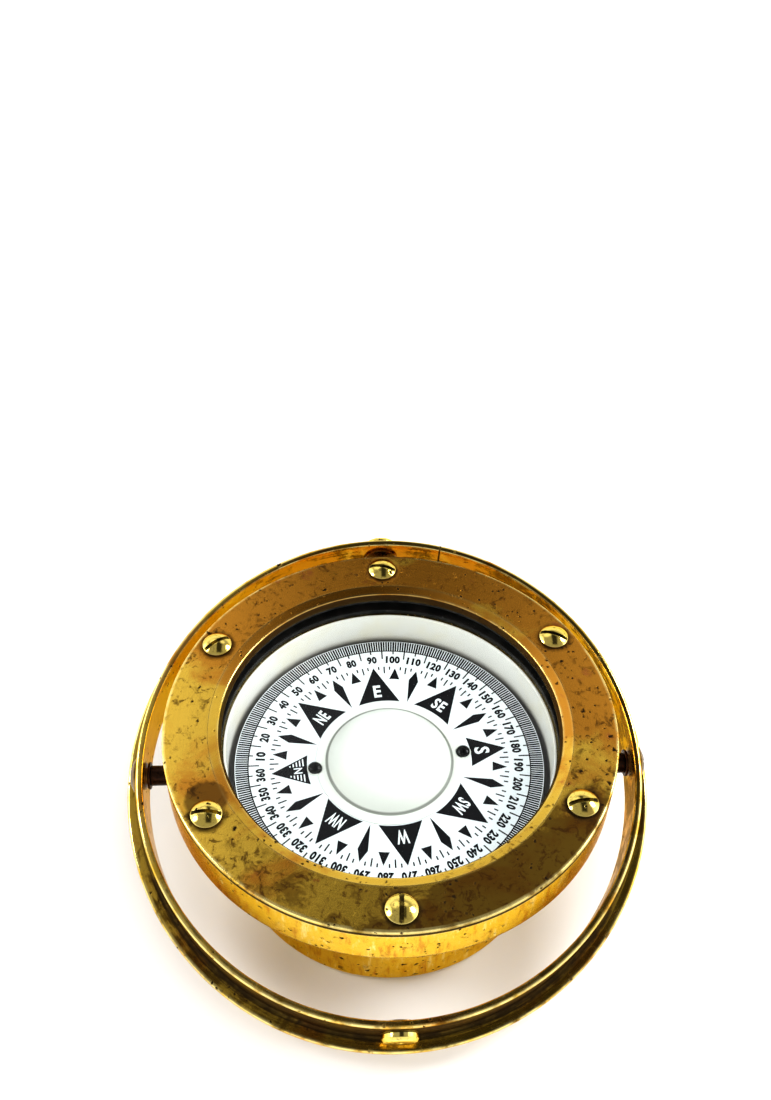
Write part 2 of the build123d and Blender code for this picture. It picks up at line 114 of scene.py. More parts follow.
def lathe(outline, segments=192):
    """Turn a closed (radius, height) outline about +Z."""
    bm = bmesh.new()
    rings = []
    for r, z in outline:
        if r < 1e-4:
            rings.append([bm.verts.new((0, 0, z))])
        else:
            rings.append([bm.verts.new((r * math.cos(a), r * math.sin(a), z))
                          for a in (2 * math.pi * i / segments for i in range(segments))])
    for low, high in zip(rings, rings[1:] + rings[:1]):
        if len(low) == 1 and len(high) == 1:
            continue
        for i in range(segments):
            j = (i + 1) % segments
            corners = [low[i % len(low)], low[j % len(low)], high[j % len(high)], high[i % len(high)]]
            bm.faces.new(list(dict.fromkeys(corners)))
    bmesh.ops.recalc_face_normals(bm, faces=bm.faces)
    return bm


def moved(bm, matrix):
    bmesh.ops.transform(bm, matrix=matrix, verts=bm.verts)
    return bm


def joined(parts):
    """One bmesh that holds several."""
    whole = bmesh.new()
    for part in parts:
        mesh = bpy.data.meshes.new("part")
        part.to_mesh(mesh)
        part.free()
        whole.from_mesh(mesh)
        bpy.data.meshes.remove(mesh)
    return whole


def box_bm(size, centre):
    bm = bmesh.new()
    bmesh.ops.create_cube(bm, size=1.0)
    return moved(bm, Matrix.Translation(centre) @ Matrix.Diagonal((*size, 1)))


def cut(bm, tool, bevel=0.0):
    """bm less the solid tool, with its hard edges bevelled."""
    objects = []
    for part in (bm, tool):
        mesh = bpy.data.meshes.new("part")
        part.to_mesh(mesh)
        part.free()
        objects.append(bpy.data.objects.new("part", mesh))
        bpy.context.scene.collection.objects.link(objects[-1])
    body, knife = objects
    boolean = body.modifiers.new("cut", "BOOLEAN")
    boolean.object, boolean.operation, boolean.solver = knife, "DIFFERENCE", "EXACT"
    if bevel:
        edge = body.modifiers.new("edge", "BEVEL")
        edge.width, edge.segments, edge.limit_method, edge.angle_limit = bevel, 2, "ANGLE", math.radians(35)
    bpy.context.view_layer.update()
    result = bmesh.new()
    result.from_mesh(bpy.data.meshes.new_from_object(
        body.evaluated_get(bpy.context.evaluated_depsgraph_get())))
    for o in objects:
        bpy.data.objects.remove(o)
    return result


def mark_edges(mesh):
    """Store how far each vertex is on a convex edge (worn bright, and in brass also lightened as a painted
    highlight) or in a concave one (holds soiling); vertices marked in a screw's slot count as concave, for painted
    shade there.
    """
    bm = bmesh.new()
    bm.from_mesh(mesh)
    full = math.radians(14)             # an edge this sharp counts in full
    painted_slot_shade = bm.verts.layers.float.get("painted_slot_shade")
    wear, grime_and_slot_shade = [], []
    for v in bm.verts:
        angles = [e.calc_face_angle_signed(0.0) for e in v.link_edges]
        slot = v[painted_slot_shade] if painted_slot_shade else 0.0
        wear.append(min(1.0, max([0.0] + angles) / full) * (1.0 - slot))
        grime_and_slot_shade.append(max(slot, min(1.0, max([0.0] + [-a for a in angles]) / full)))
    bm.free()
    for name, values in (("edge_wear", wear), ("edge_dirt_and_slot_shade", grime_and_slot_shade)):
        layer = mesh.attributes.new(name, "FLOAT", "POINT")
        layer.data.foreach_set("value", values)


def piece(name, bm, body, material, nodes=(), sharp=38.0):
    """Make an object of bm, in mm in the CAD's frame, that rides on a body and stands for CAD nodes."""
    moved(bm, Matrix.Scale(MM, 4))
    bmesh.ops.recalc_face_normals(bm, faces=bm.faces)
    mesh = bpy.data.meshes.new(name)
    bm.to_mesh(mesh)
    bm.free()
    mark_edges(mesh)
    mesh.materials.append(material)
    mesh.shade_smooth()
    mesh.set_sharp_from_angle(angle=math.radians(sharp))
    obj = bpy.data.objects.new(name, mesh)
    bpy.context.scene.collection.objects.link(obj)
    normals = obj.modifiers.new("normals", "WEIGHTED_NORMAL")
    normals.keep_sharp = True
    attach(obj, body)
    if nodes:
        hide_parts(*nodes)
    return obj


def screw_head(radius, height, slot_w, slot_d, turn=0.0, edge=0.3, bevel=0.07, segments=64):
    """Domed round head with a straight slot, standing on z = 0, sunk a little into what it stands on."""
    side = edge * height
    cap = height - side
    ball = (radius ** 2 + cap ** 2) / (2 * cap)
    reach = math.asin(radius / ball)
    arc = [(ball * math.sin(a), height - ball + ball * math.cos(a))
           for a in (reach * (1 - i / 14) for i in range(15))]
    arc[-1] = (0.0, height)
    outline = [(0.0, -0.25), (radius - 0.15, -0.25), (radius, 0.0)] + arc
    head = lathe(outline, segments)
    slot = box_bm((3 * radius, slot_w, 2 * slot_d), (0, 0, height + 0.02))
    across = Matrix.Rotation(math.radians(turn), 4, "Z")
    moved(slot, across)
    head = cut(head, slot, bevel)
    # The slot's walls and floor are marked for the materials to darken: painted shade.
    grime_and_slot_shade = head.verts.layers.float.new("painted_slot_shade")
    for v in head.verts:
        if abs((across.inverted() @ v.co).y) < slot_w / 2 + 0.2 * bevel and v.co.z > height - slot_d - 0.1:
            v[grime_and_slot_shade] = 1.0
    return head


def along_x(bm, side=1):
    """Lay a shape built along +Z along the bowl's pivot axis."""
    return moved(bm, Matrix.Translation((0, 0, PIVOT_Z)) @ Matrix.Rotation(math.pi / 2 * side, 4, "Y"))


def along_ring_y(bm, side=-1):
    """Lay a shape built along +Z along the ring's own -Y or +Y."""
    return moved(bm, RING @ Matrix.Rotation(-math.pi / 2 * side, 4, "X"))


# ------------------------------------------------------------------ material tools

class Graph:
    """Writes one material's node tree.  Its methods return output sockets; lengths are in mm."""

    def __init__(self, name, place=None):
        self.material = bpy.data.materials.new(name)
        self.material.use_nodes = True
        self.tree = self.material.node_tree
        self.tree.nodes.clear()
        own = self.add("ShaderNodeTexCoord").outputs["Object"]
        back = (place or Matrix()).inverted()
        self.co = self.add("ShaderNodeMapping", {
            "Vector": own, "Scale": (1 / MM,) * 3, "Rotation": back.to_euler(),
            "Location": back.translation,
        }).outputs[0]
        parts = self.add("ShaderNodeSeparateXYZ", {0: self.co})
        self.x, self.y, self.z = parts.outputs

    def add(self, kind, inputs=None, **settings):
        node = self.tree.nodes.new(kind)
        for key, value in settings.items():
            setattr(node, key, value)
        for key, value in (inputs or {}).items():
            if isinstance(value, bpy.types.NodeSocket):
                self.tree.links.new(value, node.inputs[key])
            else:
                node.inputs[key].default_value = value
        return node

    def math(self, operation, a, b=0.0, c=0.0):
        return self.add("ShaderNodeMath", {0: a, 1: b, 2: c}, operation=operation).outputs[0]

    def ramp(self, value, low, high, start=0.0, end=1.0):
        return self.add("ShaderNodeMapRange", {
            "Value": value, "From Min": low, "From Max": high, "To Min": start, "To Max": end,
        }, interpolation_type="SMOOTHSTEP").outputs[0]

    def noise(self, size, detail=4.0, rough=0.55, vector=None, distortion=0.0):
        return self.add("ShaderNodeTexNoise", {
            "Vector": vector or self.co, "Scale": 1 / size, "Detail": detail, "Roughness": rough,
            "Distortion": distortion,
        }).outputs["Fac"]

    def mix(self, fac, a, b):
        node = self.add("ShaderNodeMix", {0: fac}, data_type="RGBA")
        for index, value in ((6, a), (7, b)):       # its colour sockets; output 2 is the colour too
            if isinstance(value, bpy.types.NodeSocket):
                self.tree.links.new(value, node.inputs[index])
            else:
                node.inputs[index].default_value = (*value, 1.0)
        return node.outputs[2]

    def attribute(self, name):
        return self.add("ShaderNodeAttribute", attribute_name=name).outputs["Fac"]

    def turned(self, across, around):
        """Coordinates for fine marks that run round the axis: quick across, slow around."""
        radius = self.radius()
        return self.add("ShaderNodeCombineXYZ", {
            0: self.math("MULTIPLY", self.math("DIVIDE", self.x, radius), around),
            1: self.math("MULTIPLY", self.math("DIVIDE", self.y, radius), around),
            2: self.math("MULTIPLY", self.math("ADD", radius, self.z), across),
        }).outputs[0]

    def radius(self):
        squares = self.math("ADD", self.math("MULTIPLY", self.x, self.x),
                            self.math("MULTIPLY", self.y, self.y))
        return self.math("MAXIMUM", self.math("SQRT", squares), 0.01)

    def specks(self, size, share, edge=0.35):
        """Small round spots: 1 inside, on about this share of the cells."""
        wobble = self.add("ShaderNodeTexNoise", {
            "Vector": self.co, "Scale": 2.5 / size, "Detail": 3.0}).outputs["Color"]
        ragged = self.add("ShaderNodeVectorMath", {0: wobble, 1: (0.7 * size,) * 3, 2: self.co},
                          operation="MULTIPLY_ADD").outputs[0]
        cells = self.add("ShaderNodeTexVoronoi", {"Vector": ragged, "Scale": 1 / size, "Randomness": 1.0})
        chosen = self.math("LESS_THAN", self.add("ShaderNodeSeparateColor", {
            0: cells.outputs["Color"]}).outputs[0], share)
        spot = self.ramp(cells.outputs["Distance"], edge, edge * 0.45)
        return self.math("MULTIPLY", spot, chosen)

    def bump(self, height, depth, before=None):
        inputs = {"Strength": 1.0, "Distance": depth * MM, "Height": height}
        if before is not None:
            inputs["Normal"] = before
        return self.add("ShaderNodeBump", inputs).outputs[0]

    def finish(self, **inputs):
        """The Principled shader and the output.  Plain values go on the shader's own sockets."""
        shader = self.add("ShaderNodeBsdfPrincipled")
        for key, value in inputs.items():
            socket = shader.inputs[key.replace("_", " ")]
            if isinstance(value, bpy.types.NodeSocket):
                self.tree.links.new(value, socket)
            elif isinstance(value, tuple):
                socket.default_value = (*value, 1.0)
            else:
                socket.default_value = value
        self.add("ShaderNodeOutputMaterial", {0: shader.outputs[0]})
        return self.material


GOLD = (0.80, 0.52, 0.075)
AMBER = (0.60, 0.27, 0.035)
COPPER = (0.50, 0.18, 0.045)
OLIVE = (0.20, 0.115, 0.016)
UMBER = (0.075, 0.036, 0.008)
BROWN = (0.085, 0.036, 0.010)
# The black is for soiling and for painted shade; the light brass after it is a painted highlight on worn edges,
# and the light streaks.
SOOT_AND_SHADE = (0.020, 0.012, 0.006)
BRIGHT = (0.98, 0.82, 0.34)


def brass(name, amber=0.5, copper=0.3, patina=0.5, blots=0.5, pits=0.5, rough=0.24, marks=0.5, place=None,
          tint=None, shade=None, dirt_and_shade_at=None, streaks=0.0, cloud_size=8.0, wave=0.05, gold=GOLD):
    """Aged polished brass.

    Its tone drifts from gold to amber and copper.  Brown patina lies on it in clouds, then smaller blots,
    pits and stains; its edges are worn, and lightened past the bare metal as a painted highlight.  tint(g)
    and shade(g) add amber and patina, in places also painted light and shade, and dirt_and_shade_at(g) is black, 0
    to 1:
    soiling and painted shade.
    """
    g = Graph(name, place)
    drift = g.noise(24, 5, 0.6, distortion=0.6)
    if tint is not None:
        drift = g.math("ADD", drift, tint(g))
    colour = g.mix(g.ramp(drift, 0.62 - 0.3 * amber, 0.80 - 0.3 * amber), gold, AMBER)
    colour = g.mix(g.ramp(g.noise(13, 6, 0.65), 0.74 - 0.22 * copper, 0.84 - 0.22 * copper), colour, COPPER)
    if streaks:
        angle = g.math("ARCTAN2", g.y, g.x)
        runs = g.add("ShaderNodeCombineXYZ", {
            0: g.math("MULTIPLY", g.math("COSINE", angle), 60.0),
            1: g.math("MULTIPLY", g.math("SINE", angle), 60.0),
            2: g.math("MULTIPLY", g.z, 0.22)}).outputs[0]
        run = g.noise(2.6, 6, 0.7, runs)
        colour = g.mix(g.math("MULTIPLY", g.ramp(run, 0.52, 0.66), streaks), colour, COPPER)
        colour = g.mix(g.math("MULTIPLY", g.ramp(run, 0.46, 0.34), streaks), colour, BRIGHT)
    cloud = g.noise(cloud_size, 9, 0.68, distortion=0.4)
    darker = g.noise(3.5, 8, 0.75, distortion=0.5)
    if shade is not None:
        # shade(g) adds patina, and in places painted shade.
        extra = shade(g)
        cloud = g.math("ADD", cloud, extra)
        darker = g.math("ADD", darker, g.math("MAXIMUM", g.math("SUBTRACT", extra, 0.15), 0.0))
    stain = g.ramp(cloud, 0.70 - 0.25 * patina, 0.86 - 0.25 * patina)
    crust = g.mix(g.ramp(darker, 0.40, 0.62), OLIVE, UMBER)
    colour = g.mix(g.math("MULTIPLY", stain, 0.85), colour, crust)
    blot = g.ramp(g.noise(cloud_size * 0.45, 8, 0.75, distortion=0.8), 0.68 - 0.16 * blots,
                  0.76 - 0.16 * blots)
    blot = g.math("MULTIPLY", blot, g.ramp(cloud, 0.38, 0.58))
    colour = g.mix(g.math("MULTIPLY", blot, 0.8), colour, BROWN)
    cluster = g.ramp(g.noise(17, 3), 0.40, 0.52)
    spots = g.math("MAXIMUM", g.specks(1.7, 0.24 * pits), g.specks(3.6, 0.20 * pits, 0.26))
    spots = g.math("MULTIPLY", spots, cluster)
    # Black in hollows and from dirt_and_shade_at(g): soiling, and painted shade in screw slots and where a caller
    # puts it.
    dirt_and_shade = g.math("MULTIPLY", g.attribute("edge_dirt_and_slot_shade"), g.ramp(g.noise(3, 5), 0.25, 0.55))
    if dirt_and_shade_at is not None:
        dirt_and_shade = g.math("MAXIMUM", dirt_and_shade, dirt_and_shade_at(g))
    dirt_and_shade = g.math("MAXIMUM", spots, g.math("MULTIPLY", dirt_and_shade, 0.95))
    colour = g.mix(dirt_and_shade, colour, SOOT_AND_SHADE)
    # Worn edges lightened past the bare metal: wear and a painted highlight.
    worn_highlight = g.math("MULTIPLY", g.attribute("edge_wear"), g.ramp(g.noise(6, 4), 0.30, 0.62))
    worn_highlight = g.math("MULTIPLY", worn_highlight, g.math("SUBTRACT", 1.0, dirt_and_shade))
    colour = g.mix(g.math("MULTIPLY", worn_highlight, 0.8), colour, BRIGHT)
    fine = g.noise(1, 6, 0.7, g.turned(2.4, 3.0))
    roughness = g.math("ADD", rough, g.math("MULTIPLY", g.math("SUBTRACT", fine, 0.5), 0.22 * marks))
    roughness = g.math("ADD", roughness, g.math("MULTIPLY", g.math("MAXIMUM", stain, blot), 0.14))
    roughness = g.math("ADD", roughness, g.math("MULTIPLY", dirt_and_shade, 0.35))
    roughness = g.math("SUBTRACT", roughness, g.math("MULTIPLY", worn_highlight, 0.08))
    dull = g.math("ADD", g.math("MULTIPLY", stain, 0.04), g.math("MULTIPLY", dirt_and_shade, 0.15))
    metal = g.math("SUBTRACT", 1.0, dull)
    normal = g.bump(g.noise(11, 2, 0.4), wave)
    normal = g.bump(fine, 0.008 * marks, normal)
    normal = g.bump(g.math("SUBTRACT", g.noise(0.5, 3), g.math("MULTIPLY", spots, 3.0)), 0.012, normal)
    return g.finish(Base_Color=colour, Metallic=metal, Roughness=roughness, Normal=normal,
                    Specular_Tint=(0.85, 0.62, 0.30))


def dark_bronze(name, tone=(0.10, 0.06, 0.03), glint=(0.42, 0.27, 0.10), rough=0.28, glint_share=0.5,
                place=None):
    """Bronze under an old dark patina, rubbed back to metal on its edges and in patches."""
    g = Graph(name, place)
    rubbed = g.math("MAXIMUM", g.math("MULTIPLY", g.attribute("edge_wear"), 0.8),
                    g.ramp(g.noise(3.0, 6, 0.65), 0.72 - 0.2 * glint_share, 0.90 - 0.2 * glint_share))
    rubbed = g.math("MULTIPLY", rubbed, g.ramp(g.noise(1.2, 4), 0.2, 0.55))
    colour = g.mix(rubbed, tone, glint)
    # Black in hollows: soiling, and painted shade in screw slots.
    colour = g.mix(g.math("MULTIPLY", g.attribute("edge_dirt_and_slot_shade"), 0.8), colour, SOOT_AND_SHADE)
    fine = g.noise(0.7, 5, 0.65)
    roughness = g.math("ADD", rough - 0.08, g.math("MULTIPLY", fine, 0.25))
    normal = g.bump(fine, 0.02)
    return g.finish(Base_Color=colour, Metallic=1.0, Roughness=roughness, Normal=normal)


def enamel(name, tone, aged, rough=0.35, coat=0.3, stain_size=18.0, stain_share=0.5,
           crease_and_shade_tone=(0.2, 0.2, 0.19), gloss=0.5, below=None):
    """Painted or printed surface with slight yellowing, dust and a dark line in its creases.

    below is two heights in mm, between which the colour darkens downwards: painted shade under the card.
    """
    g = Graph(name)
    yellowed = g.ramp(g.noise(stain_size, 5, 0.6), 0.65 - 0.3 * stain_share, 0.95 - 0.3 * stain_share)
    colour = g.mix(yellowed, tone, aged)
    dust = g.math("MULTIPLY", g.specks(2.4, 0.05, 0.12), 0.5)
    colour = g.mix(dust, colour, crease_and_shade_tone)
    colour = g.mix(g.math("MULTIPLY", g.attribute("edge_dirt_and_slot_shade"), 0.85), colour, crease_and_shade_tone)
    roughness = g.math("ADD", rough - 0.06, g.math("MULTIPLY", g.noise(2.0, 5, 0.6), 0.16))
    if below is not None:
        # Painted shade: darker downwards, below the given heights.
        colour = g.mix(g.math("MULTIPLY", g.ramp(g.z, *below), 0.85), colour, crease_and_shade_tone)
    return g.finish(Base_Color=colour, Roughness=roughness, Normal=g.bump(g.noise(0.8, 4), 0.004),
                    Specular_IOR_Level=gloss, Coat_Weight=coat, Coat_Roughness=0.12)


def rubber(name):
    g = Graph(name)
    grain = g.noise(0.35, 4, 0.6)
    colour = g.mix(g.ramp(g.noise(6, 5), 0.4, 0.7), (0.006, 0.006, 0.006), (0.018, 0.017, 0.016))
    colour = g.mix(g.math("MULTIPLY", g.specks(1.8, 0.06, 0.15), 0.6), colour, (0.25, 0.24, 0.22))
    return g.finish(Base_Color=colour, Roughness=g.math("ADD", 0.42, g.math("MULTIPLY", grain, 0.25)),
                    Normal=g.bump(grain, 0.02), Specular_IOR_Level=0.25)


def plain_metal(name, tone, other, rough=0.35, metallic=1.0, size=6.0):
    """Inner metal parts: cast, drawn or plated, with soft variation and fine grain."""
    g = Graph(name)
    colour = g.mix(g.ramp(g.noise(size, 6, 0.6), 0.35, 0.7), tone, other)
    colour = g.mix(g.math("MULTIPLY", g.attribute("edge_dirt_and_slot_shade"), 0.6), colour, SOOT_AND_SHADE)
    fine = g.noise(0.5, 5)
    return g.finish(Base_Color=colour, Metallic=metallic, Normal=g.bump(fine, 0.012),
                    Roughness=g.math("ADD", rough - 0.08, g.math("MULTIPLY", fine, 0.2)))


def window_glass(name):
    """Clear plate glass: it lets light straight through and mirrors a little, more at a shallow angle."""
    g = Graph(name)
    shallow = g.add("ShaderNodeLayerWeight", {"Blend": 0.5}).outputs["Facing"]
    mirror = g.math("ADD", g.math("MULTIPLY", g.math("POWER", shallow, 5.0), 0.5), 0.022)
    smear = g.ramp(g.noise(20, 5, 0.6), 0.45, 0.75)
    gloss = g.add("ShaderNodeBsdfGlossy", {
        "Color": (1, 1, 1, 1), "Roughness": g.math("ADD", 0.02, g.math("MULTIPLY", smear, 0.04))})
    clear = g.add("ShaderNodeBsdfTransparent", {"Color": (0.985, 0.995, 0.99, 1)})
    both = g.add("ShaderNodeMixShader", {0: mirror, 1: clear.outputs[0], 2: gloss.outputs[0]})
    g.add("ShaderNodeOutputMaterial", {0: both.outputs[0]})
    return g.material


# ------------------------------------------------------------------ materials

def bezel_shade(g):
    """More patina towards the front and right of the bezel, some at its back, none round the opening; the front,
    right and back parts are partly painted shade, where the flat top mirrors dark surroundings.
    """
    forward = g.math("MULTIPLY", g.ramp(g.y, -18.0, -58.0), 0.15)
    toward = g.math("SUBTRACT", g.math("MULTIPLY", g.x, 0.53), g.math("MULTIPLY", g.y, 0.85))
    right = g.math("MULTIPLY", g.ramp(toward, 40.0, 60.0), 0.32)
    back = g.math("MULTIPLY", g.ramp(g.y, 36.0, 64.0), 0.06)
    bevel = g.math("MULTIPLY", g.ramp(g.radius(), 54.0, 53.0), 0.30)
    return g.math("SUBTRACT", g.math("ADD", g.math("ADD", forward, right), back), bevel)


def bezel_tint(g):
    """Golden at the left and front, amber towards the back and right: the metal's tone, and partly painted light,
    golden where the top mirrors bright surroundings and amber where it mirrors darker ones.
    """
    return g.ramp(g.math("ADD", g.math("MULTIPLY", g.x, 0.45), g.y), -32.0, 36.0, -0.10, 0.13)


def bezel_dirt(g):
    """The joint under the bezel, black on the lower wall of its opening, and a stain round each screw.

    The stain by the left front screw is wider.
    """
    offset = g.math("WRAP", g.math("SUBTRACT", g.math("ARCTAN2", g.y, g.x), math.radians(30)),
                    math.radians(30), math.radians(-30))
    radius = g.radius()
    square = g.math("ADD", g.math("MULTIPLY", radius, radius), SCREW_ORBIT ** 2)
    square = g.math("SUBTRACT", square, g.math("MULTIPLY", g.math("MULTIPLY", radius, 2 * SCREW_ORBIT),
                                               g.math("COSINE", offset)))
    away = g.math("SQRT", g.math("MAXIMUM", square, 0.0))
    rough_edge = g.math("MULTIPLY", g.noise(2.5, 5, 0.6), 2.4)
    halo = g.math("MULTIPLY", g.ramp(g.math("ADD", away, rough_edge), 7.6, 5.6), 0.9)
    here = g.add("ShaderNodeVectorMath", {0: g.co, 1: (*SCREW_STAIN, TOP_Z)}, operation="DISTANCE")
    stain = g.math("MULTIPLY", g.ramp(g.math("ADD", here.outputs["Value"], rough_edge), 8.0, 6.6), 0.75)
    joint = g.ramp(g.z, FLANGE_TOP_Z + 0.85, FLANGE_TOP_Z + 0.55)
    # Black on the lower wall of the opening.
    opening_black = g.math("MULTIPLY", g.ramp(g.z, TOP_Z - 1.05, TOP_Z - 1.35), g.ramp(radius, 51.6, 51.2))
    return g.math("MAXIMUM", g.math("MAXIMUM", halo, stain), g.math("MAXIMUM", joint, opening_black))


def bowl_dirt(g):
    """The joint over the flange."""
    return g.ramp(g.z, FLANGE_TOP_Z - 0.7, FLANGE_TOP_Z - 0.4)


def screw_dirt(g):
    """Black polish left where a head meets the bezel, with painted shade there too."""
    return g.ramp(g.math("ADD", g.z, g.math("MULTIPLY", g.noise(2, 3), 0.4)), TOP_Z + 0.95, TOP_Z + 0.50)


def ring_dirt(g):
    """The ring's brazed seam at the back, and the outer wall of its web made nearly black, most at the front:
    drawn patina, with painted shade.
    """
    seam = math.radians(75)
    along = g.math("SUBTRACT", g.math("MULTIPLY", g.y, math.cos(seam)),
                   g.math("MULTIPLY", g.x, math.sin(seam)))
    line = g.math("MULTIPLY", g.ramp(g.math("ABSOLUTE", along), 0.45, 0.15), g.ramp(g.y, 0.0, 10.0))
    radius = g.radius()
    drawn = g.noise(1, 6, 0.7, g.turned(1.4, 4.0))
    wall = g.math("MULTIPLY", g.ramp(radius, 75.7, 76.1), g.ramp(g.z, 7.3, 6.6))
    foot = g.math("SUBTRACT", radius, g.math("MULTIPLY", drawn, 2.0))
    wall = g.math("MULTIPLY", wall, g.ramp(foot, 77.6, 76.4))
    # Painted shade: the wall darkest at the front, where it would mirror the dark floor in front.
    front = g.ramp(g.y, 40.0, -45.0, 0.35, 1.0)
    wall = g.math("MULTIPLY", g.math("MULTIPLY", wall, front), g.ramp(drawn, 0.30, 0.48, 0.88, 1.0))
    return g.math("MAXIMUM", line, wall)


def ring_tint(g):
    """Painted reflection: amber on the inside at the back, where brown surroundings are mirrored."""
    return g.math("MULTIPLY", g.ramp(g.radius(), 74.8, 74.3), g.ramp(g.y, 0.0, 60.0, 0.0, 0.16))


def ring_shade(g):
    """Patina drawn out round the ring; painted shade adds more on the inside at the back and right, and towards
    the front.
    """
    drawn = g.math("MULTIPLY", g.math("SUBTRACT", g.noise(1, 6, 0.7, g.turned(0.9, 5.0)), 0.5), 0.6)
    # Painted reflection: darker on the inside towards the back and right, where brown surroundings are mirrored.
    back_right = g.ramp(g.math("ADD", g.x, g.y), 0.0, 80.0, 0.02, 0.20)
    inside = g.math("MULTIPLY", g.ramp(g.radius(), 74.8, 74.3), back_right)
    # Painted shade: more patina towards the front, where the ring mirrors the dark floor.
    top = g.math("MULTIPLY", g.ramp(g.z, -8.2, -7.2), g.ramp(g.y, 20.0, -70.0, 0.0, 0.20))
    return g.math("ADD", drawn, g.math("ADD", inside, top))


BEZEL_BRASS = brass("aged_bezel_brass", amber=0.8, copper=0.65, patina=0.40, blots=1.0, pits=1.0,
                    rough=0.24, marks=0.6, tint=bezel_tint, shade=bezel_shade, dirt_and_shade_at=bezel_dirt,
                    wave=0.06)
BOWL_BRASS = brass("aged_bowl_brass", amber=0.25, copper=0.40, patina=0.28, blots=0.75, pits=0.8,
                   rough=0.24, marks=0.6, dirt_and_shade_at=bowl_dirt, streaks=0.7, cloud_size=6.0, wave=0.06)
RING_BRASS = brass("aged_ring_brass", amber=0.45, copper=0.25, patina=0.35, blots=0.5, pits=0.6,
                   rough=0.15, marks=0.7, place=RING, tint=ring_tint, shade=ring_shade,
                   dirt_and_shade_at=ring_dirt, wave=0.04)
SCREW_BRASS = brass("polished_screw_brass", amber=0.1, copper=0.0, patina=0.50, blots=0.9, pits=0.8,
                    rough=0.12, marks=0.4, dirt_and_shade_at=screw_dirt, cloud_size=1.7, wave=0.07,
                    gold=(0.90, 0.68, 0.15))
PLUG_BRASS = brass("polished_plug_brass", amber=0.2, copper=0.0, patina=0.30, blots=0.4, pits=0.6,
                   rough=0.16, marks=0.3, cloud_size=2.5, wave=0.03)
STUB_BRASS = brass("polished_stub_brass", amber=0.1, copper=0.0, patina=0.45, blots=0.8, pits=0.8,
                   rough=0.16, marks=0.3, place=RING, cloud_size=2.2, wave=0.03, gold=(0.90, 0.70, 0.14))
INNER_BRASS = plain_metal("inner_brass", (0.74, 0.50, 0.13), (0.55, 0.33, 0.09), 0.34)
COVER_BRASS = brass("aged_cover_brass", amber=0.6, copper=0.5, patina=0.5, blots=0.6, pits=0.8, rough=0.33,
                    marks=0.8)
DARK_BRONZE = dark_bronze("dark_bronze")
RING_BRONZE = dark_bronze("dark_ring_bronze", tone=(0.06, 0.035, 0.018), rough=0.18, glint_share=0.4,
                          place=RING)
BLACK_SLEEVE = dark_bronze("blackened_sleeve", tone=(0.012, 0.008, 0.007), glint=(0.10, 0.05, 0.03),
                           rough=0.34, glint_share=0.15)
BUSH_BRONZE = plain_metal("bush_bronze", (0.52, 0.31, 0.11), (0.34, 0.18, 0.07), 0.32)
DIAPHRAGM = plain_metal("diaphragm_bronze", (0.60, 0.36, 0.16), (0.50, 0.28, 0.12), 0.25)
STEEL = plain_metal("hard_steel", (0.62, 0.62, 0.63), (0.48, 0.48, 0.50), 0.22)
MAGNET = plain_metal("blued_magnet_steel", (0.16, 0.17, 0.20), (0.10, 0.11, 0.15), 0.34)
LEAD = plain_metal("cast_lead", (0.30, 0.31, 0.33), (0.20, 0.21, 0.22), 0.55, 0.9, 9.0)
JEWEL = plain_metal("ruby_jewel", (0.35, 0.02, 0.05), (0.22, 0.01, 0.03), 0.12, 0.0, 1.5)
FIBRE = plain_metal("red_fibre", (0.26, 0.06, 0.035), (0.18, 0.04, 0.03), 0.7, 0.0, 2.0)
RUBBER = rubber("black_rubber")
GLASS = window_glass("window_glass")
# The lining darkens below the card: painted shade.
LINING = enamel("lining_enamel", (0.95, 0.94, 0.89), (0.93, 0.89, 0.74), 0.32, 0.3, 22.0, 0.7,
                (0.16, 0.15, 0.13), below=(45.0, 41.0))
CARD = enamel("card_enamel", (0.84, 0.90, 0.95), (0.88, 0.90, 0.90), 0.45, 0.05, 20.0, 0.4)
FLOAT = enamel("float_enamel", (0.78, 0.81, 0.77), (0.80, 0.81, 0.75), 0.38, 0.2, 16.0, 0.5,
               (0.16, 0.17, 0.15))
INK = enamel("black_ink", (0.006, 0.006, 0.008), (0.010, 0.010, 0.012), 0.50, 0.0, 9.0, 0.5,
             (0.02, 0.02, 0.02), gloss=0.12)
RIVET = dark_bronze("black_rivet", tone=(0.012, 0.012, 0.013), glint=(0.05, 0.05, 0.05), rough=0.2,
                    glint_share=0.2)


# ------------------------------------------------------------------ bowl, bezel and window

bezel_outline = rounded([
    (OPENING_R, BEZEL_LOW_Z, 0.15), (55.4, BEZEL_LOW_Z, 0.15), (55.4, FLANGE_TOP_Z, 0),
    (BEZEL_R, FLANGE_TOP_Z, 0.3), (BEZEL_R, TOP_Z, 0.55), (53.3, TOP_Z, 1.0), (50.5, TOP_Z - 0.9, 0.5),
    (49.9, TOP_Z - 1.9, 0.4), (OPENING_R, TOP_Z - 2.4, 0.2)])
piece("bezel", lathe(bezel_outline, 320), "bowl", BEZEL_BRASS, ["bezel_ring"])

heads = []
for i, turn in enumerate(SCREW_TURNS):
    heads.append(moved(screw_head(4.4, 2.2, 1.15, 1.3, turn),
                       Matrix.Rotation(math.radians(30 + 60 * i), 4, "Z")
                       @ Matrix.Translation((SCREW_ORBIT, 0, TOP_Z))))
piece("bezel_screw_heads", joined(heads), "bowl", SCREW_BRASS, ["bezel_screws"])

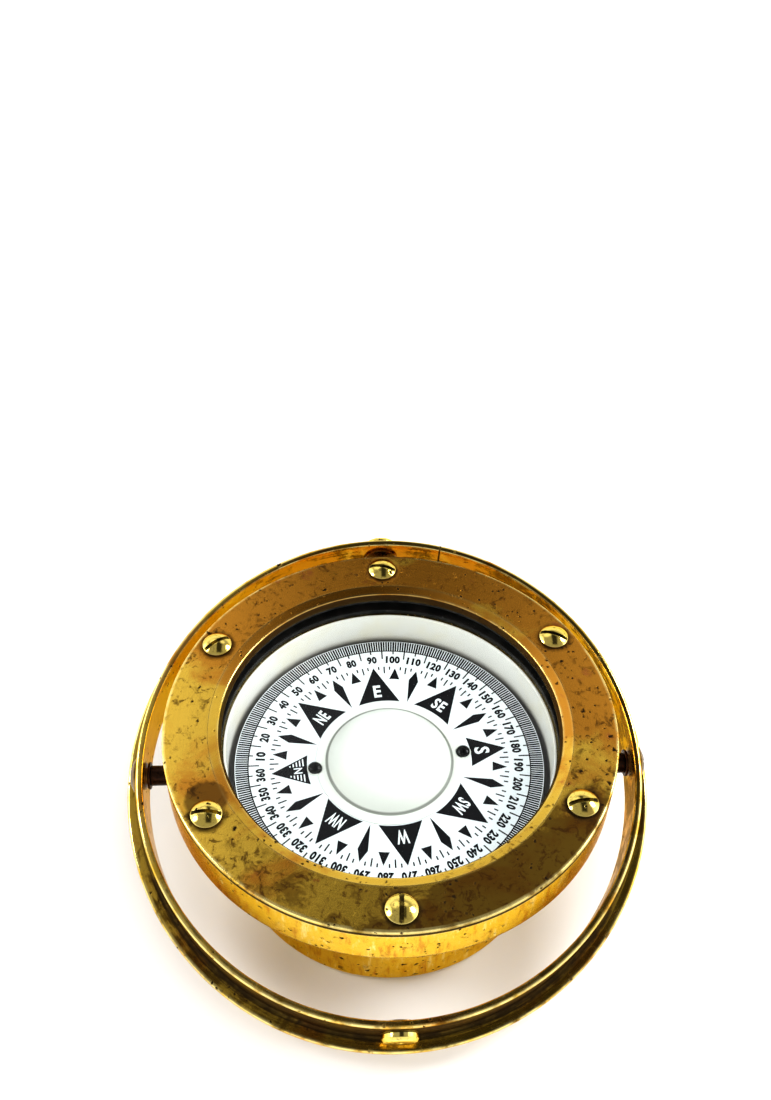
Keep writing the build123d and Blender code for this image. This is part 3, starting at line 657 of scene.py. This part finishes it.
shell_outline = rounded([
    (45.9, 0.0, 0.2), (47.5, 0.0, 0), (48.9, 0.6, 1.5), (49.62, 2.0, 1.5), (52.5, FLANGE_LOW_Z, 1.0),
    (BEZEL_R, FLANGE_LOW_Z, 0.7), (BEZEL_R, FLANGE_TOP_Z, 0.45), (55.6, FLANGE_TOP_Z, 0.2),
    (55.6, SHELF_Z, 0), (OPENING_R, SHELF_Z, 0), (OPENING_R, 26.0, 0), (46.5, 26.0, 0), (46.5, 12.0, 0),
    (40.0, 12.0, 0.3), (40.0, 9.0, 0.3), (45.9, 9.0, 0)])
shell = [lathe(shell_outline, 320)]
for side in (1, -1):
    boss = rounded([(0, 50.6, 0), (8.2, 50.6, 0), (8.2, 51.2, 0.5), (BOSS_R, 53.2, 1.6),
                    (BOSS_R, 57.0, 0.5), (0, 57.0, 0)])
    shell.append(along_x(lathe(boss, 72), side))
filler = (Matrix.Rotation(math.radians(52), 4, "Z") @ Matrix.Translation((54.2, 0, 36.0))
          @ Matrix.Rotation(math.pi / 2, 4, "Y"))
boss = rounded([(0, -4.0, 0), (8.0, -4.0, 0), (8.0, -3.2, 0.5), (BOSS_R, -1.6, 1.2), (BOSS_R, 0.0, 0.4),
                (0, 0.0, 0)])
shell.append(moved(lathe(boss, 72), filler))
piece("bowl", joined(shell), "bowl", BOWL_BRASS, ["bowl_shell"])

washer = rounded([(3.05, 0.0, 0), (5.4, 0.0, 0.1), (5.4, 0.8, 0.15), (3.05, 0.8, 0)])
piece("filler_fibre_washer", moved(lathe(washer, 64), filler), "bowl", FIBRE,
      ["filler_washer"])
head = moved(screw_head(5.0, 2.2, 1.1, 1.2), filler @ Matrix.Translation((0, 0, 0.8)))
piece("filler_screw", head, "bowl", PLUG_BRASS, ["filler_plug"])

low, high = GLASS_Z
glass = rounded([(0, low, 0), (54.2, low, 0.4), (54.2, high, 0.4), (0, high, 0)])
piece("window", lathe(glass, 256), "bowl", GLASS, ["glass_cover"])
gasket = rounded([(50.1, SHELF_Z, 0.3), (55.5, SHELF_Z, 0), (55.5, high, 0), (54.3, high, 0),
                  (54.3, low - 0.02, 0), (50.1, low - 0.02, 0.3)])
piece("window_seat", lathe(gasket, 256), "bowl", RUBBER, ["lower_gasket"])
low, high = high + 0.02, BEZEL_LOW_Z - 0.02
gasket = rounded([(50.1, low, 0.3), (55.4, low, 0), (55.4, high, 0), (50.1, high, 0.3)])
piece("window_gasket", lathe(gasket, 256), "bowl", RUBBER, ["upper_gasket"])
sleeve = rounded([(48.9, 28.1, 0.15), (49.5, 28.1, 0), (49.5, SHELF_Z, 0), (48.9, SHELF_Z, 0.25)])
piece("lining", lathe(sleeve, 256), "bowl", LINING, ["bowl_lining"])

cover = lathe(rounded([(0, 0.0, 0), (45.8, 0.0, 0.35), (45.8, 2.2, 0), (0, 2.2, 0)]), 192)
for i in range(3):
    vent = lathe([(0, -1.0), (1.2, -1.0), (1.2, 3.2), (0, 3.2)], 24)
    cover = cut(cover, moved(vent, Matrix.Rotation(math.radians(90 + 120 * i), 4, "Z")
                             @ Matrix.Translation((16, 0, 0))))
for i in range(4):
    sink = lathe([(0, -0.02), (2.2, -0.02), (1.1, 1.3), (1.1, 3.2), (0, 3.2)], 32)
    cover = cut(cover, moved(sink, Matrix.Rotation(math.radians(90 * i), 4, "Z")
                             @ Matrix.Translation((COVER_SCREW_ORBIT, 0, 0))))
piece("cover", cover, "bowl", COVER_BRASS, ["bottom_cover"])
heads = []
for i in range(4):
    cone = lathe([(0, 0.12), (1.9, 0.12), (2.0, 0.2), (1.05, 1.2), (1.0, 7.8), (0, 7.8)], 32)
    slot = moved(box_bm((6, 0.55, 1.0), (0, 0, 0)), Matrix.Rotation(math.radians(20 + 47 * i), 4, "Z"))
    heads.append(moved(cut(cone, slot), Matrix.Rotation(math.radians(90 * i), 4, "Z")
                       @ Matrix.Translation((COVER_SCREW_ORBIT, 0, 0))))
piece("cover_screw_heads", joined(heads), "bowl", INNER_BRASS, ["cover_screws"])


# ------------------------------------------------------------------ card and float

PRINT_Z = (CARD_TOP_Z - 0.06, CARD_TOP_Z + 0.025)
LETTER_Z = (CARD_TOP_Z, CARD_TOP_Z + 0.045)


def at_bearing(bearing):
    """Place on the card at a bearing in degrees: its own +Y points outwards and +X clockwise."""
    return CARD_TURN @ Matrix.Rotation(-math.radians(bearing) - math.pi / 2, 4, "Z")


def prism(bm, points, heights, matrix):
    """Add a flat-sided closed shape of (x, y) points between two heights."""
    low, high = ([bm.verts.new(matrix @ Vector((x, y, z))) for x, y in points] for z in heights)
    bm.faces.new(high)
    bm.faces.new(low[::-1])
    for i in range(len(points)):
        j = (i + 1) % len(points)
        bm.faces.new((low[i], low[j], high[j], high[i]))


def arc_points(radius, half, steps):
    """Points of an arc about the card's middle, across +Y, half as wide as half says in mm."""
    reach = math.asin(half / radius)
    return [(radius * math.sin(a), radius * math.cos(a))
            for a in (reach * (2 * i / steps - 1) for i in range(steps + 1))]


def add_text(bm, text, height, width, baseline, heights, bearing, weight=0.0, gap=1.0):
    """Add lettering, its foot at a radius on the card and its top outwards, squeezed to a width in mm."""
    curve = bpy.data.curves.new("letters", "FONT")
    curve.body, curve.align_x, curve.size, curve.extrude = text, "CENTER", 1.0, 0.5
    curve.offset, curve.space_character, curve.resolution_u = weight, gap, 3
    obj = bpy.data.objects.new("letters", curve)
    bpy.context.scene.collection.objects.link(obj)
    bpy.context.view_layer.update()
    mesh = bpy.data.meshes.new_from_object(obj.evaluated_get(bpy.context.evaluated_depsgraph_get()))
    xs = [v.co.x for v in mesh.vertices]
    ys = [v.co.y for v in mesh.vertices]
    zs = [v.co.z for v in mesh.vertices]
    grow = Matrix.Diagonal((width / (max(xs) - min(xs)), height / (max(ys) - min(ys)),
                            (heights[1] - heights[0]) / (max(zs) - min(zs)), 1))
    to_origin = Matrix.Translation((-(max(xs) + min(xs)) / 2, -min(ys), -min(zs)))
    mesh.transform(at_bearing(bearing) @ Matrix.Translation((0, baseline, heights[0])) @ grow @ to_origin)
    bm.from_mesh(mesh)
    bpy.data.objects.remove(obj)
    bpy.data.curves.remove(curve)
    bpy.data.meshes.remove(mesh)


print_bm, letter_bm = bmesh.new(), bmesh.new()
RIM_LINE = 42.9                         # circle inside the degree marks
MARK_END = 46.75                        # outer end of the degree marks
TIP_R = 35.8                            # tips of the points
NUMBER_R = 37.8                         # foot of the numbers
NUMBER_WIDTHS = {1: 1.0, 2: 3.15, 3: 4.6}   # by how many digits there are
QUARTERS = (("NE", 45, 4.2), ("E", 90, 2.4), ("SE", 135, 4.2), ("S", 180, 2.5), ("SW", 225, 5.0),
            ("W", 270, 3.7), ("NW", 315, 5.0))
NORTH_BARS = ((26.2, 4.1), (27.2, 3.7), (28.2, 3.2), (29.2, 2.7), (30.2, 2.1))
for degree in range(360):
    width = 0.25 if degree % 5 else 0.29
    prism(print_bm, [(-width, RIM_LINE), (width, RIM_LINE), (width * 1.08, MARK_END),
                     (-width * 1.08, MARK_END)], PRINT_Z, at_bearing(degree))
ring = lathe([(RIM_LINE - 0.18, PRINT_Z[0]), (RIM_LINE + 0.18, PRINT_Z[0]), (RIM_LINE + 0.18, PRINT_Z[1]),
              (RIM_LINE - 0.18, PRINT_Z[1])], 256)
print_bm = joined([print_bm, ring])
for step in range(72):                  # lines every 5 degrees, shorter at the numbers
    foot = 39.6 if step % 2 else 41.6
    prism(print_bm, [(-0.21, foot), (0.21, foot), (0.21, RIM_LINE), (-0.21, RIM_LINE)], PRINT_Z,
          at_bearing(5 * step))
for step in range(128):                 # marks round the points' tips, three between two points
    if step % 4 == 0:
        continue
    foot = 33.7 if step % 4 == 2 else 35.1
    prism(print_bm, [(-0.21, foot), (0.21, foot), (0.23, 36.4), (-0.23, 36.4)], PRINT_Z,
          at_bearing(2.8125 * step))
for step in range(32):                  # the points: large, diamond and small
    bearing = 11.25 * step
    if step % 4 == 0:
        base, half = (25.1, 5.3) if bearing in (0, 180) else (22.7, 6.5)
        prism(print_bm, arc_points(base, half, 14) + [(0, TIP_R + 0.2)], PRINT_Z, at_bearing(bearing))
    elif step % 4 == 2:
        prism(print_bm, [(0, 22.9), (1.55, 31.6), (0, 35.6), (-1.55, 31.6)], PRINT_Z, at_bearing(bearing))
    else:
        prism(print_bm, arc_points(31.4, 1.65, 3) + [(0, TIP_R)], PRINT_Z, at_bearing(bearing))
for ten in range(36):
    text = str(10 * ten if ten else 360)
    add_text(print_bm, text, 2.95, NUMBER_WIDTHS[len(text)], NUMBER_R, PRINT_Z, 10 * ten, 0.055, 1.10)
for text, bearing, width in QUARTERS:
    height, foot = (4.3 if len(text) == 2 else 4.7), (26.3 if text == "S" else 24.2)
    add_text(letter_bm, text, height, width, foot, LETTER_Z, bearing, 0.028, 1.10)
add_text(letter_bm, "N", 2.6, 2.0, 26.6, LETTER_Z, 0, 0.02)
for rung, reach in NORTH_BARS:
    bar = ((1.5, rung - 0.2), (reach, rung - 0.2), (reach - 0.15, rung + 0.2), (1.5, rung + 0.2))
    for side in (-1, 1):
        prism(letter_bm, [(side * x, y) for x, y in bar][::side], LETTER_Z, at_bearing(0))
piece("card_print", print_bm, "card", INK, sharp=30)
piece("card_letters", letter_bm, "card", CARD, sharp=30)

disc = rounded([(FLOAT_HOLE_R, CARD_TOP_Z - 0.5, 0), (CARD_R, CARD_TOP_Z - 0.5, 0.12),
                (CARD_R, CARD_TOP_Z, 0.12), (FLOAT_HOLE_R, CARD_TOP_Z, 0)])
piece("card_disc", lathe(disc, 256), "card", CARD, ["compass_card"])

DOME_R, DOME_H, RIM_H = 19.1, 11.5, 0.4
ball = (DOME_R ** 2 + DOME_H ** 2) / (2 * DOME_H)
reach = math.asin(DOME_R / ball)


def dome_arc(ball_r, end, steps):
    """Points of the dome's arc from its crown down to its foot."""
    centre = CARD_TOP_Z + DOME_H - ball
    return [(ball_r * math.sin(a), centre + ball_r * math.cos(a))
            for a in (end * i / steps for i in range(steps + 1))]


outer = dome_arc(ball, reach * 0.975, 40)
inner = dome_arc(ball - 0.8, reach * 0.97, 40)[::-1]
foot = [(DOME_R + 0.05, CARD_TOP_Z + RIM_H - 0.12), (DOME_R + 0.30, CARD_TOP_Z + RIM_H - 0.12),
        (DOME_R + 0.50, CARD_TOP_Z + RIM_H), (22.2, CARD_TOP_Z + RIM_H), (22.4, CARD_TOP_Z + RIM_H - 0.15),
        (22.4, CARD_TOP_Z), (18.6, CARD_TOP_Z)]
parts = [lathe(outer + foot + inner, 192)]
for side in (0, math.pi):
    ear = lathe([(0, CARD_TOP_Z), (2.4, CARD_TOP_Z), (2.4, CARD_TOP_Z + RIM_H - 0.12),
                 (2.28, CARD_TOP_Z + RIM_H), (0, CARD_TOP_Z + RIM_H)], 48)
    parts.append(moved(ear, CARD_TURN @ Matrix.Rotation(side, 4, "Z")
                       @ Matrix.Translation((RIVET_ORBIT, 0, 0))))
piece("float_shell", joined(parts), "card", FLOAT, ["float_dome"])
heads = []
for side in (0, math.pi):
    cap = [(2.05 * math.cos(a), CARD_TOP_Z + 0.7 + 1.15 * math.sin(a))
           for a in (math.pi / 2 * i / 8 for i in range(9))]
    cap[-1] = (0, CARD_TOP_Z + 1.85)
    rivet = lathe([(0, CARD_TOP_Z - 1.6), (1.6, CARD_TOP_Z - 1.6), (1.6, CARD_TOP_Z - 1.1),
                   (0.98, CARD_TOP_Z - 1.1), (0.98, CARD_TOP_Z + 0.38), (2.05, CARD_TOP_Z + 0.38)] + cap, 48)
    heads.append(moved(rivet, CARD_TURN @ Matrix.Rotation(side, 4, "Z")
                       @ Matrix.Translation((RIVET_ORBIT, 0, 0))))
piece("rivet_heads", joined(heads), "card", RIVET, ["card_rivets"])


# ------------------------------------------------------------------ gimbal ring and pivots

low, high = RING_Z
ring_outline = rounded([
    (RING_IN_R, low, 0.5), (RING_FLANGE_R, low, 0.6), (RING_FLANGE_R, low + 2.0, 0.8),
    (RING_OUT_R, low + 2.0, 1.2), (RING_OUT_R, high, 0.9), (RING_IN_R, high, 0.4)], 5)
ring = lathe(ring_outline, 360)
for side in (1, -1):
    hole = lathe([(0, 70.0), (4.0, 70.0), (4.0, 79.0), (0, 79.0)], 48)
    ring = cut(ring, moved(hole, Matrix.Rotation(math.pi / 2 * side, 4, "Y")))
piece("gimbal_hoop", moved(ring, RING), "gimbal", RING_BRASS, ["gimbal_ring"])

for side, word in ((1, "right"), (-1, "left")):
    stem = lathe([(0, 52.6), (PIVOT_R, 52.6), (PIVOT_R, 73.3), (2.5, 73.3), (2.5, 76.6), (0, 76.6)], 40)
    head = moved(screw_head(5.1, 2.4, 1.0, 1.0, 25), Matrix.Translation((0, 0, 76.5)))
    piece(f"pivot_screw_piece_{word}", along_x(joined([stem, head]), side), "bowl", DARK_BRONZE,
          [f"pivot_screw_{word}"])
    tube = rounded([(2.25, 57.0, 0.1), (3.05, 57.0, 0.2), (3.05, 72.5, 0.2), (2.25, 72.5, 0.1)])
    piece(f"pivot_sleeve_{word}", along_x(lathe(tube, 48), side), "bowl", BLACK_SLEEVE,
          [f"pivot_spacer_{word}"])
    disc = rounded([(2.25, 72.5, 0), (4.1, 72.5, 0.2), (4.1, 73.3, 0.15), (2.25, 73.3, 0)])
    piece(f"pivot_disc_{word}", along_x(lathe(disc, 48), side), "bowl", BLACK_SLEEVE,
          [f"pivot_washer_{word}"])

for side, word in ((-1, "front"), (1, "back")):
    stub = rounded([(0, 76.0, 0), (5.1, 76.0, 0), (5.1, 76.6, 0.1), (5.4, 76.6, 0.1), (5.4, 77.9, 0.6),
                    (4.85, 78.8, 0.5), (4.1, 79.0, 0.6), (0.9, 79.0, 0.15), (0, 78.5, 0)])
    piece(f"ring_stub_{word}", along_ring_y(lathe(stub, 72), side), "gimbal", STUB_BRASS,
          [f"outer_pivot_{word}"])
    dome_height = 0.95 if word == "front" else 1.7
    head = moved(screw_head(5.4, dome_height, 1.0, 0.8),
                 Matrix.Translation((0, 0, 73.75)) @ Matrix.Rotation(math.pi, 4, "X"))
    stem = lathe([(0, 73.9), (2.4, 73.9), (2.4, 77.6), (0, 77.6)], 40)
    piece(f"ring_stub_screw_{word}", along_ring_y(joined([head, stem]), side), "gimbal", RING_BRONZE,
          [f"outer_pivot_screw_{word}"])


# ------------------------------------------------------------------ CAD nodes that stay

KEPT = {
    "chamber_floor": LINING, "floor_screws": INNER_BRASS, "pivot_post": INNER_BRASS,
    "pivot_post_nut": INNER_BRASS, "pivot_tip": STEEL, "expansion_diaphragm": DIAPHRAGM,
    "diaphragm_clamp_ring": INNER_BRASS, "clamp_screws": INNER_BRASS, "ballast_weight": LEAD,
    "float_base": FLOAT, "jewel_cup": INNER_BRASS, "pivot_jewel": JEWEL, "magnet_carrier": INNER_BRASS,
    "magnet_right": MAGNET, "magnet_left": MAGNET, "lubber_pin": RIVET,
    "pivot_bush_right": BUSH_BRONZE, "pivot_bush_left": BUSH_BRONZE,
}
for name, material in KEPT.items():
    node = frame["nodes"][name]
    if node.material_slots:
        node.material_slots[0].material = material
    else:
        node.data.materials.append(material)


# ------------------------------------------------------------------ floor, light and camera

g = Graph("pale_floor")
floor_colour = g.mix(g.noise(400, 2), (0.86, 0.86, 0.86), (0.88, 0.88, 0.88))
floor_material = g.finish(Base_Color=floor_colour, Roughness=0.6)
bm = bmesh.new()
bmesh.ops.create_grid(bm, x_segments=1, y_segments=1, size=6.0)
floor_mesh = bpy.data.meshes.new("floor")
bm.to_mesh(floor_mesh)
bm.free()
floor_mesh.materials.append(floor_material)
floor = bpy.data.objects.new("floor", floor_mesh)
bpy.context.scene.collection.objects.link(floor)
floor.location.z = -0.1 * MM            # a hair below the underside of the bowl, not level with it


def studio_world():
    """White studio: bright walls, a dimmer ceiling with a dark gap over the object, windows at its sides."""
    world = bpy.data.worlds.new("studio")
    bpy.context.scene.world = world
    world.use_nodes = True
    tree = world.node_tree
    tree.nodes.clear()

    def add(kind, inputs=None, **settings):
        node = tree.nodes.new(kind)
        for key, value in settings.items():
            setattr(node, key, value)
        for key, value in (inputs or {}).items():
            if isinstance(value, bpy.types.NodeSocket):
                tree.links.new(value, node.inputs[key])
            else:
                node.inputs[key].default_value = value
        return node

    def maths(operation, a, b=0.0):
        return add("ShaderNodeMath", {0: a, 1: b}, operation=operation).outputs[0]

    def ramp(value, low, high, start, end):
        return add("ShaderNodeMapRange", {
            "Value": value, "From Min": low, "From Max": high, "To Min": start, "To Max": end,
        }, interpolation_type="SMOOTHSTEP").outputs[0]

    toward = add("ShaderNodeTexCoord").outputs["Generated"]

    def near(direction, inner, outer, start, end):
        """From start to end as a direction comes within some degrees of this one."""
        cosine = add("ShaderNodeVectorMath", {0: toward, 1: Vector(direction).normalized()},
                     operation="DOT_PRODUCT").outputs["Value"]
        return ramp(cosine, math.cos(math.radians(outer)), math.cos(math.radians(inner)), start, end)

    east, north, height = add("ShaderNodeSeparateXYZ", {0: toward}).outputs
    light = ramp(height, 0.35, 0.62, 1.0, 0.34)
    middle = ramp(north, 0.46, 0.57, 0.13, 0.035)
    width = ramp(north, 0.46, 0.57, 1.0, 0.58)
    off = maths("DIVIDE", maths("ABSOLUTE", maths("SUBTRACT", east, middle)), width)
    band = ramp(off, 0.14, 0.29, 1.0, 0.0)
    band = maths("MULTIPLY", band, maths("MULTIPLY", ramp(north, -0.50, -0.32, 0.0, 1.0),
                                         ramp(height, 0.5, 0.62, 0.0, 1.0)))
    light = maths("MULTIPLY", light, maths("SUBTRACT", 1.0, maths("MULTIPLY", band, 0.9)))
    light = maths("ADD", light, near((-0.30, 0.60, 0.74), 7, 21, 0.0, 0.75))
    light = maths("ADD", light, near((0.30, 0.56, 0.77), 5, 13, 0.0, 0.55))
    light = maths("ADD", light, near((-0.86, 0.30, 0.42), 10, 24, 0.0, 1.6))
    light = maths("ADD", light, near((0.90, 0.05, 0.42), 10, 24, 0.0, 1.4))
    seen = add("ShaderNodeLightPath").outputs["Is Camera Ray"]
    light = maths("ADD", maths("MULTIPLY", light, maths("SUBTRACT", 1.0, seen)), seen)
    shade = add("ShaderNodeBackground", {"Color": (1, 1, 1, 1), "Strength": light})
    add("ShaderNodeOutputWorld", {0: shade.outputs[0]})


studio_world()


def soft_box(name, place, size, power, tint=(1, 1, 1), mirrored=True):
    light = bpy.data.lights.new(name, "AREA")
    light.shape, light.size, light.energy, light.color = "DISK", size, power, tint
    obj = bpy.data.objects.new(name, light)
    bpy.context.scene.collection.objects.link(obj)
    obj.location = place
    obj.visible_glossy = mirrored
    obj.rotation_mode = "QUATERNION"
    obj.rotation_quaternion = (Vector((0, 0, 0.03)) - Vector(place)).to_track_quat("-Z", "Y")


soft_box("key_light", (1.15, 0.35, 1.05), 0.6, 10.0)
soft_box("fill_light", (-1.2, 0.1, 0.95), 0.5, 6.0)
soft_box("top_light", (0.40, -0.10, 1.3), 1.2, 8.0, (1.0, 0.99, 0.97), mirrored=False)
soft_box("front_light", (0.25, -1.25, 0.85), 0.9, 7.0, (1.0, 0.98, 0.94), mirrored=False)

# The camera's place in metres, its direction, roll and lens are fitted to the photo's view.
CAMERA_PLACE = Vector((-0.0160, -0.2162, 0.3618))
CAMERA_FORWARD = Vector((0.0423, 0.6913, -0.7213))
CAMERA_ROLL = math.radians(1.38)
camera_data = bpy.data.cameras.new("camera")
camera_data.lens = 40.82
camera_data.sensor_width = 36.0
camera_data.clip_start, camera_data.clip_end = 0.01, 50.0
camera = bpy.data.objects.new("camera", camera_data)
bpy.context.scene.collection.objects.link(camera)
forward = CAMERA_FORWARD.normalized()
right = forward.cross(Vector((0, 0, 1))).normalized()
up = right.cross(forward)
side_axis = math.cos(CAMERA_ROLL) * right + math.sin(CAMERA_ROLL) * up
up_axis = math.cos(CAMERA_ROLL) * up - math.sin(CAMERA_ROLL) * right
camera.matrix_world = Matrix((
    (side_axis.x, up_axis.x, -forward.x, CAMERA_PLACE.x),
    (side_axis.y, up_axis.y, -forward.y, CAMERA_PLACE.y),
    (side_axis.z, up_axis.z, -forward.z, CAMERA_PLACE.z), (0, 0, 0, 1)))
bpy.context.scene.camera = camera
bpy.context.scene.view_settings.view_transform = "Standard"
bpy.context.scene.view_settings.look = "Medium High Contrast"
bpy.context.scene.view_settings.exposure = 0.1
